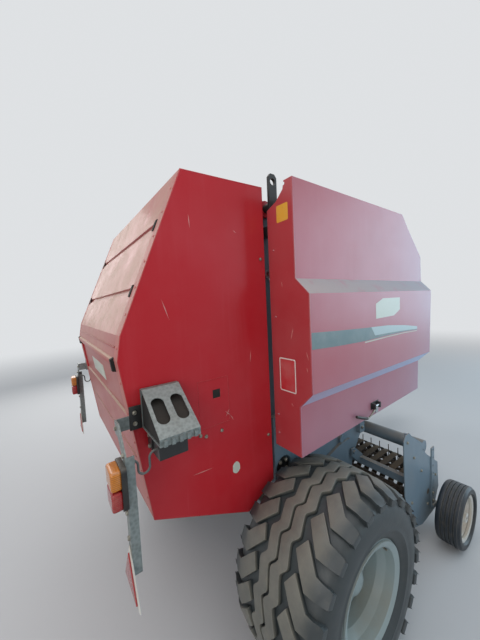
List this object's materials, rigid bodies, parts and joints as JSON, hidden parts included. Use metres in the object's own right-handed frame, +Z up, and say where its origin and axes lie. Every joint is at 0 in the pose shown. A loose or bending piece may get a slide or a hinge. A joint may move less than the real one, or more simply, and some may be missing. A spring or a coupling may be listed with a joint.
{
  "type": "round baler",
  "caption": "Towed round baler with a fixed roller chamber, opening tailgate, tined pickup, side shields, net box, drawbar and parking jack, standing parked.",
  "frame": {"origin": "on the ground, under the middle of the overall length and width", "axes": "+Y forward to the towing eye, +X to the machine's right, +Z up"},
  "size_m": [2.39, 3.943, 2.462],
  "materials": {
    "paint_red": "gloss, weathered",
    "frame_grey": "satin, dusty",
    "part_black": "satin",
    "zinc": "galvanized",
    "rim_grey": "satin, dusty",
    "steel": "worn and dusty",
    "lamp": "translucent look",
    "reflector": "glossy",
    "tyre": "dusty rubber"
  },
  "bodies": {
    "chassis": {"side_wall_right": "frame_grey", "side_wall_left": "frame_grey", "chassis_frame": "frame_grey", "axle": "frame_grey", "drawbar": "frame_grey", "towing_eye": "part_black", "gearbox": "part_black", "cross_shaft": "part_black", "driveline": "part_black", "front_rollers": "steel", "top_cover": "paint_red", "net_box": "frame_grey", "lifting_lug_right": "part_black", "lifting_lug_left": "part_black", "rotor_floor": "frame_grey", "drive_left": "part_black", "bearings_right": "part_black"},
    "jack": {"jack_tube": "part_black", "jack_leg": "zinc"},
    "net_lid": {"front_lid": "paint_red"},
    "rotor": {"feed_rotor": "frame_grey"},
    "right_shield": {"shield_right": "paint_red"},
    "left_shield": {"shield_left": "paint_red"},
    "tailgate": {"tail_side_right": "paint_red", "tail_side_left": "paint_red", "tail_rollers": "steel", "tail_rear_panels": "paint_red", "lamp_arm_right": "zinc", "lamp_arm_left": "zinc", "lamp_right": "lamp", "lamp_left": "lamp", "reflector_right": "reflector", "reflector_left": "reflector", "lamp_cable_right": "part_black", "lamp_cable_left": "part_black", "chock_holder_right": "part_black", "chock_holder_left": "part_black", "chock_right": "zinc", "chock_left": "zinc"},
    "right_barrel": {"barrel_right": "part_black"},
    "left_barrel": {"barrel_left": "part_black"},
    "right_rod": {"ram_rod_right": "zinc"},
    "left_rod": {"ram_rod_left": "zinc"},
    "pickup": {"pickup_frame": "frame_grey", "pickup_strippers": "paint_red"},
    "reel": {"pickup_reel": "steel"},
    "guard": {"windguard": "frame_grey"},
    "right_gauge": {"gauge_wheel_right": "tyre"},
    "left_gauge": {"gauge_wheel_left": "tyre"},
    "right_wheel": {"wheel_right": "rim_grey", "tyre_right": "tyre"},
    "left_wheel": {"wheel_left": "rim_grey", "tyre_left": "tyre"}
  },
  "joints": [
    {"name": "tailgate_hinge", "type": "hinge", "parent": "chassis", "child": "tailgate", "pos_m": [0, -1.0935, 2.3], "axis": [-1, 0, 0], "range_deg": [0, 65]},
    {"name": "right_shield_hinge", "type": "hinge", "parent": "chassis", "child": "right_shield", "pos_m": [0.796, -0.6135, 2.364], "axis": [0, -1, 0], "range_deg": [0, 70]},
    {"name": "left_shield_hinge", "type": "hinge", "parent": "chassis", "child": "left_shield", "pos_m": [-0.796, -0.6135, 2.364], "axis": [0, 1, 0], "range_deg": [0, 70]},
    {"name": "net_lid_hinge", "type": "hinge", "parent": "chassis", "child": "net_lid", "pos_m": [0, -0.4015, 2.335], "axis": [1, 0, 0], "range_deg": [0, 60]},
    {"name": "rotor_turn", "type": "hinge", "parent": "chassis", "child": "rotor", "pos_m": [0, -0.4385, 0.79], "axis": [1, 0, 0], "continuous": true},
    {"name": "jack_swing", "type": "hinge", "parent": "chassis", "child": "jack", "pos_m": [-0.19, 1.3665, 0.592], "axis": [-1, 0, 0], "range_deg": [0, 90]},
    {"name": "pickup_lift", "type": "hinge", "parent": "chassis", "child": "pickup", "pos_m": [0, -0.2935, 0.64], "axis": [1, 0, 0], "range_deg": [0, 15]},
    {"name": "reel_turn", "type": "hinge", "parent": "pickup", "child": "reel", "pos_m": [0, 0.0865, 0.35], "axis": [1, 0, 0], "continuous": true},
    {"name": "guard_lift", "type": "hinge", "parent": "pickup", "child": "guard", "pos_m": [0, -0.2585, 0.88], "axis": [1, 0, 0], "range_deg": [0, 25]},
    {"name": "right_gauge_turn", "type": "hinge", "parent": "pickup", "child": "right_gauge", "pos_m": [1.12, 0.1965, 0.21], "axis": [1, 0, 0], "continuous": true},
    {"name": "left_gauge_turn", "type": "hinge", "parent": "pickup", "child": "left_gauge", "pos_m": [-1.12, 0.1965, 0.21], "axis": [1, 0, 0], "continuous": true},
    {"name": "right_wheel_turn", "type": "hinge", "parent": "chassis", "child": "right_wheel", "pos_m": [0.925, -1.0135, 0.466], "axis": [1, 0, 0], "continuous": true},
    {"name": "left_wheel_turn", "type": "hinge", "parent": "chassis", "child": "left_wheel", "pos_m": [-0.925, -1.0135, 0.466], "axis": [1, 0, 0], "continuous": true},
    {"name": "right_barrel_turn", "type": "hinge", "parent": "chassis", "child": "right_barrel", "pos_m": [0.636, -0.5835, 1.2], "axis": [1, 0, 0], "range_deg": [0, 5.8]},
    {"name": "left_barrel_turn", "type": "hinge", "parent": "chassis", "child": "left_barrel", "pos_m": [-0.636, -0.5835, 1.2], "axis": [1, 0, 0], "range_deg": [0, 5.8]},
    {"name": "right_rod_slide", "type": "slide", "parent": "right_barrel", "child": "right_rod", "axis": [0, -0.5735, 0.8192], "range_m": [0, 0.36]},
    {"name": "left_rod_slide", "type": "slide", "parent": "left_barrel", "child": "left_rod", "axis": [0, -0.5735, 0.8192], "range_m": [0, 0.36]}
  ],
  "couplings": [
    {"joint": "right_barrel_turn", "follows": "tailgate_hinge", "ratio": 0.089142},
    {"joint": "left_barrel_turn", "follows": "tailgate_hinge", "ratio": 0.089142},
    {"joint": "right_rod_slide", "follows": "tailgate_hinge", "m_per_rad": 0.31701},
    {"joint": "left_rod_slide", "follows": "tailgate_hinge", "m_per_rad": 0.31701}
  ]
}
